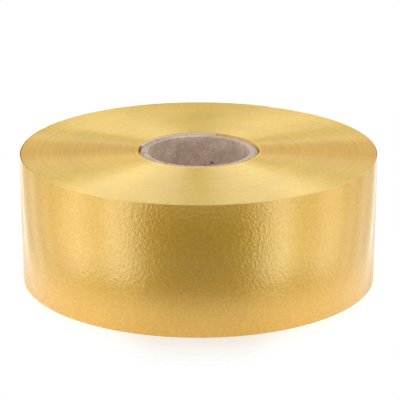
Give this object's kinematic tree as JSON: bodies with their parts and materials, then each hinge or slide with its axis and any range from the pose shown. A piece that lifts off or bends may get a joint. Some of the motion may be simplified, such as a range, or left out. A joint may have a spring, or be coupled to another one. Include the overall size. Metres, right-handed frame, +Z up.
{
  "type": "gift ribbon roll",
  "caption": "Roll of wide gold embossed gift ribbon wound on a paperboard core, standing on its end face, with a free end that unrolls outwards.",
  "frame": {"origin": "middle of the bottom end face, on the roll's axis", "axes": "+Z up along the core; +X to the right and -Y towards the viewer; the ribbon's free end is at the back right"},
  "size_m": [0.1365, 0.1367, 0.05],
  "materials": {
    "gold_film": "metallised gold film with a fine embossed grain",
    "core_board": "grey-brown recycled board with flecks",
    "tape_paper": "cream crepe paper tape"
  },
  "bodies": {
    "roll": {"core_inner_ply": "core_board", "core_middle_ply": "core_board", "core_outer_ply": "core_board", "start_tape": "tape_paper", "ribbon_first_turn": "gold_film", "ribbon_winding": "gold_film", "ribbon_outer_turn": "gold_film"},
    "tail_1": {"ribbon_tail_1": "gold_film"},
    "tail_2": {"ribbon_tail_2": "gold_film"},
    "tail_3": {"ribbon_tail_3": "gold_film"},
    "tail_4": {"ribbon_tail_4": "gold_film"},
    "tail_5": {"ribbon_tail_5": "gold_film"},
    "tail_6": {"ribbon_tail_6": "gold_film"},
    "tail_7": {"ribbon_tail_7": "gold_film"},
    "tail_8": {"ribbon_tail_8": "gold_film"}
  },
  "joints": [
    {"name": "tail_hinge_1", "type": "hinge", "parent": "roll", "child": "tail_1", "pos_m": [-0.05597, 0.03919, 0.025], "axis": [0, 0, 1], "range_deg": [0, 10], "stiffness_Nm_per_rad": 0.0004},
    {"name": "tail_hinge_2", "type": "hinge", "parent": "tail_1", "child": "tail_2", "pos_m": [-0.04832, 0.04832, 0.025], "axis": [0, 0, 1], "range_deg": [0, 10], "stiffness_Nm_per_rad": 0.0004},
    {"name": "tail_hinge_3", "type": "hinge", "parent": "tail_2", "child": "tail_3", "pos_m": [-0.0392, 0.05599, 0.025], "axis": [0, 0, 1], "range_deg": [0, 10], "stiffness_Nm_per_rad": 0.0004},
    {"name": "tail_hinge_4", "type": "hinge", "parent": "tail_3", "child": "tail_4", "pos_m": [-0.02889, 0.06196, 0.025], "axis": [0, 0, 1], "range_deg": [0, 10], "stiffness_Nm_per_rad": 0.0004},
    {"name": "tail_hinge_5", "type": "hinge", "parent": "tail_4", "child": "tail_5", "pos_m": [-0.0177, 0.06605, 0.025], "axis": [0, 0, 1], "range_deg": [0, 10], "stiffness_Nm_per_rad": 0.0004},
    {"name": "tail_hinge_6", "type": "hinge", "parent": "tail_5", "child": "tail_6", "pos_m": [-0.00596, 0.06813, 0.025], "axis": [0, 0, 1], "range_deg": [0, 10], "stiffness_Nm_per_rad": 0.0004},
    {"name": "tail_hinge_7", "type": "hinge", "parent": "tail_6", "child": "tail_7", "pos_m": [0.00596, 0.06814, 0.025], "axis": [0, 0, 1], "range_deg": [0, 10], "stiffness_Nm_per_rad": 0.0004},
    {"name": "tail_hinge_8", "type": "hinge", "parent": "tail_7", "child": "tail_8", "pos_m": [0.01771, 0.06608, 0.025], "axis": [0, 0, 1], "range_deg": [0, 10], "stiffness_Nm_per_rad": 0.0004}
  ],
  "couplings": [
    {"joint": "tail_hinge_2", "follows": "tail_hinge_1", "ratio": 1},
    {"joint": "tail_hinge_3", "follows": "tail_hinge_1", "ratio": 1},
    {"joint": "tail_hinge_4", "follows": "tail_hinge_1", "ratio": 1},
    {"joint": "tail_hinge_5", "follows": "tail_hinge_1", "ratio": 1},
    {"joint": "tail_hinge_6", "follows": "tail_hinge_1", "ratio": 1},
    {"joint": "tail_hinge_7", "follows": "tail_hinge_1", "ratio": 1},
    {"joint": "tail_hinge_8", "follows": "tail_hinge_1", "ratio": 1}
  ]
}
